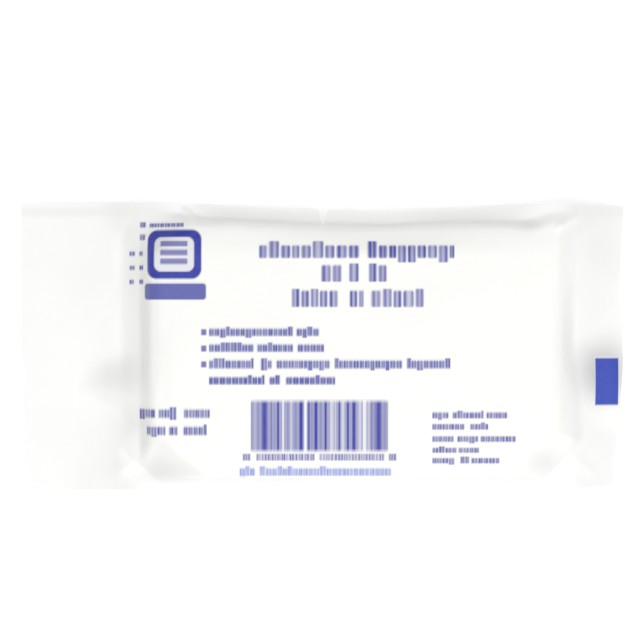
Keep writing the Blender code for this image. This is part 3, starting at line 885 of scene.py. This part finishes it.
smallLines = [
    {"box": (211, 326, 321, 338), "words": [(0, 0.75), (0.78, 1)], "seed": 11, "ground": 0.62},
    {"box": (211, 341.5, 324, 353.5), "words": [(0, 0.39), (0.42, 0.73), (0.77, 1)], "seed": 12, "ground": 0.66},
    {"box": (211, 357, 448, 370), "words": [(0, 0.185), (0.215, 0.26), (0.28, 0.50), (0.52, 0.80), (0.82, 1)],
     "seed": 13, "ground": 0.57},
    {"box": (211, 373.5, 335, 385.5), "words": [(0, 0.44), (0.48, 0.57), (0.61, 1)], "seed": 14, "ground": 0.76},
    {"box": (141, 405, 212, 418.6), "words": [(0, 0.25), (0.29, 0.56), (0.64, 1)], "seed": 15},
    {"box": (149, 422, 209, 435.5), "words": [(0, 0.32), (0.38, 0.52), (0.62, 1)], "seed": 16},
    {"box": (430, 408.5, 504, 418.5), "words": [(0, 0.22), (0.27, 0.68), (0.72, 1)], "seed": 17},
    {"box": (430, 420, 485, 429.5), "words": [(0, 0.60), (0.68, 1)], "seed": 18},
    {"box": (430, 432, 512, 441.5), "words": [(0, 0.26), (0.30, 0.55), (0.58, 1)], "seed": 19},
    {"box": (430, 443.5, 478, 452), "words": [(0, 0.50), (0.54, 1)], "seed": 20},
    {"box": (430, 453.5, 496, 462.5), "words": [(0, 0.36), (0.42, 0.55), (0.58, 1)], "seed": 21},
    {"box": (141, 222.5, 186, 230), "words": [(0, 0.18), (0.22, 1)], "seed": 22},
    {"box": (141, 233, 148.6, 243), "words": [(0, 1)], "seed": 26},
    {"box": (130, 250, 145, 258), "words": [(0, 0.4), (0.7, 1)], "seed": 23},
    {"box": (130, 264, 145, 272), "words": [(0, 0.4), (0.7, 1)], "seed": 24},
    {"box": (130, 278, 145, 286), "words": [(0, 0.4), (0.7, 1)], "seed": 25},
]
bulletBoxes = [(203, y, 209, y + 7) for y in (328.5, 344.5, 360)]


def join(name, pieces):
    deselectAll()
    for piece in pieces:
        piece.select_set(True)
    bpy.context.view_layer.objects.active = pieces[0]
    bpy.ops.object.join()
    pieces[0].name = name
    pieces[0].data.name = name
    return pieces[0]


def solidCover(x, y, width, height):
    return 0.85 * blockCover(x, y, 0.1, width - 0.1, 0.1, height - 0.1)


heading = join("heading", [addInk(f"heading{i}", line["box"], textCover({**bigMarks, **line}), blueInk)
                           for i, line in enumerate(headingLines)])
lineInks = [addInk(f"line{i}", line["box"], textCover({**smallMarks, **line}), blueInk)
            for i, line in enumerate(smallLines)]
bullets = [addInk(f"bullet{i}", box, solidCover, blueInk) for i, box in enumerate(bulletBoxes)]
smallPrint = join("smallPrint", lineInks + bullets)


# ---- the stripe block with its small marks, a framed emblem and the eye mark
stripes = {
    "box": (252, 398, 387, 450),
    "row": 1.0,
    "seed": 40,
    "ground": 0.64,
    "narrow": (0.28, 0.9),
    "tones": (0.0, 0.35, 0.75, 1.0, 1.0),
    "soft": 0.2,
    "evenEnd": 0.26,  # this share of the width at each end has an even tone
    "ends": (0.10, 0.93),
    "endWidth": 1.5,
    "rounding": 0.08,
}


def stripeCover(x, y, width, height):
    # a pale ground with darker stripes and white gaps of uneven width, and a wide soft stripe near each end
    draw = random.Random(stripes["seed"])
    strength = np.full_like(x, stripes["ground"])
    place = 0
    while place < width:
        across = draw.uniform(*stripes["narrow"])
        tone = draw.choice(stripes["tones"])
        inside = blockCover(x, np.zeros_like(y), place, place + across, -1, 1, soft=stripes["soft"])
        middle = eased(np.minimum(x, width - x) / (stripes["evenEnd"] * width))
        strength += (tone - stripes["ground"]) * inside * (0.25 + 0.75 * middle)
        place += across + draw.uniform(*stripes["narrow"])
    for end in stripes["ends"]:
        strength = np.maximum(strength, np.exp(-((x - end * width) / stripes["endWidth"]) ** 2))
    return strength * blockCover(x, y, 0, width, 0.1, height - 0.1, rounding=stripes["rounding"])


underLine = {**smallMarks, "box": (244, 450.8, 395, 458.4), "words": [(0, 0.05), (0.09, 0.47), (0.50, 0.92), (0.95, 1)],
             "seed": 41, "ground": 0.26, "low": 0, "high": 1}
footLine = {**smallMarks, "box": (241, 463, 392, 475.5), "words": [(0, 0.10), (0.13, 1)], "seed": 42, "ground": 0.5}
stripeBlock = join("stripeBlock", [addInk("stripes", stripes["box"], stripeCover, blueInk, row=stripes["row"]),
                                   addInk("underMarks", underLine["box"], textCover(underLine), blueInk)])
footMarks = addInk("footMarks", footLine["box"], textCover(footLine), paleInk)

emblem = {
    "box": (146, 230, 209, 302),
    "wideBar": (0.5, 0.25),  # its lower edge, and its upper edge as a share of the height
    "wideTone": 0.90,
    "frameLow": 0.31,
    "frameSides": (1.0, 1.4),  # how far in the frame stands at the left and at the right
    "line": 1.9,
    "ground": 0.16,
    "barPlaces": (0.20, 0.45, 0.70),  # as shares of the room in the frame
    "barEnds": (0.27, 0.70),
    "barHeight": 1.5,
    "barTone": 0.8,
}


def emblemCover(x, y, width, height):
    # a plain rounded frame with bars in it, over one wide bar
    wideLow, wideHigh = emblem["wideBar"]
    wideBar = blockCover(x, y, 0.2, width - 0.2, wideLow, wideHigh * height)
    low, high, line = emblem["frameLow"] * height, height - 0.3, emblem["line"]
    left, right = emblem["frameSides"][0], width - emblem["frameSides"][1]
    outer = blockCover(x, y, left, right, low, high)
    inner = blockCover(x, y, left + line, right - line, low + line, high - line)
    made = np.maximum(emblem["wideTone"] * wideBar, outer - (1 - emblem["ground"]) * inner)
    barLeft, barRight = (end * width for end in emblem["barEnds"])
    for place in emblem["barPlaces"]:
        barLow = low + line + place * (height - low - 2 * line)
        bar = blockCover(x, y, barLeft, barRight, barLow, barLow + emblem["barHeight"])
        made = np.maximum(made, emblem["barTone"] * bar)
    return made


eye = {"box": (593.5, 356.5, 618, 406), "row": 0.6, "soft": 0.2, "rounding": 0.15}


def eyeCover(x, y, width, height):
    return blockCover(x, y, 0.1, width - 0.1, 0.1, height - 0.1, soft=eye["soft"], rounding=eye["rounding"])


emblemBlock = addInk("emblemBlock", emblem["box"], emblemCover, blueInk)
eyeMark = addInk("eyeMark", eye["box"], eyeCover, markInk, row=eye["row"])
for ink in (heading, smallPrint, stripeBlock, footMarks, emblemBlock, eyeMark):
    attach(ink, "root")
    print(ink.name, len(ink.data.polygons), "faces")


# ---- floor and light
studio = {
    "floorSize": 6,
    "floor": 0.92,
    "floorRoughness": 0.8,
    "floorGlow": 0.26,  # keeps the floor as pale as the photograph's ground
    "world": 0.49,
    "key": 3.2,
    "keySize": 0.9,
    "keyDistance": 0.9,
    "keyElevation": 55,
    "keyAzimuth": 18,  # from the lower edge towards the right end
    "top": 3.4,
    "topSize": 0.9,
    "topHeight": 0.9,
}


def addStudio(setup):
    deselectAll()
    bpy.ops.mesh.primitive_plane_add(size=setup["floorSize"], location=(0, 0, 0))
    floor = bpy.context.object
    floor.name = "floor"
    material, *_, shader = newMaterial("paleFloor")
    shader.inputs["Base Color"].default_value = (setup["floor"],) * 3 + (1,)
    shader.inputs["Roughness"].default_value = setup["floorRoughness"]
    shader.inputs["Emission Color"].default_value = (1, 1, 1, 1)
    shader.inputs["Emission Strength"].default_value = setup["floorGlow"]
    floor.data.materials.append(material)
    world = bpy.context.scene.world or bpy.data.worlds.new("studio")
    bpy.context.scene.world = world
    world.use_nodes = True
    background = world.node_tree.nodes["Background"]
    background.inputs["Color"].default_value = (1, 1, 1, 1)
    background.inputs["Strength"].default_value = setup["world"]
    rise, turn = math.radians(setup["keyElevation"]), math.radians(setup["keyAzimuth"])
    away = setup["keyDistance"]
    place = (away * math.cos(rise) * math.sin(turn), -away * math.cos(rise) * math.cos(turn), away * math.sin(rise))
    bpy.ops.object.light_add(type="AREA", location=place, rotation=(math.radians(90) - rise, 0, turn))
    key = bpy.context.object
    key.name = "keyLight"
    key.data.size = setup["keySize"]
    key.data.energy = setup["key"]
    bpy.ops.object.light_add(type="AREA", location=(0, 0, setup["topHeight"]))
    top = bpy.context.object
    top.name = "topLight"
    top.data.size = setup["topSize"]
    top.data.energy = setup["top"]
    bpy.context.scene.view_settings.view_transform = "Standard"


addStudio(studio)
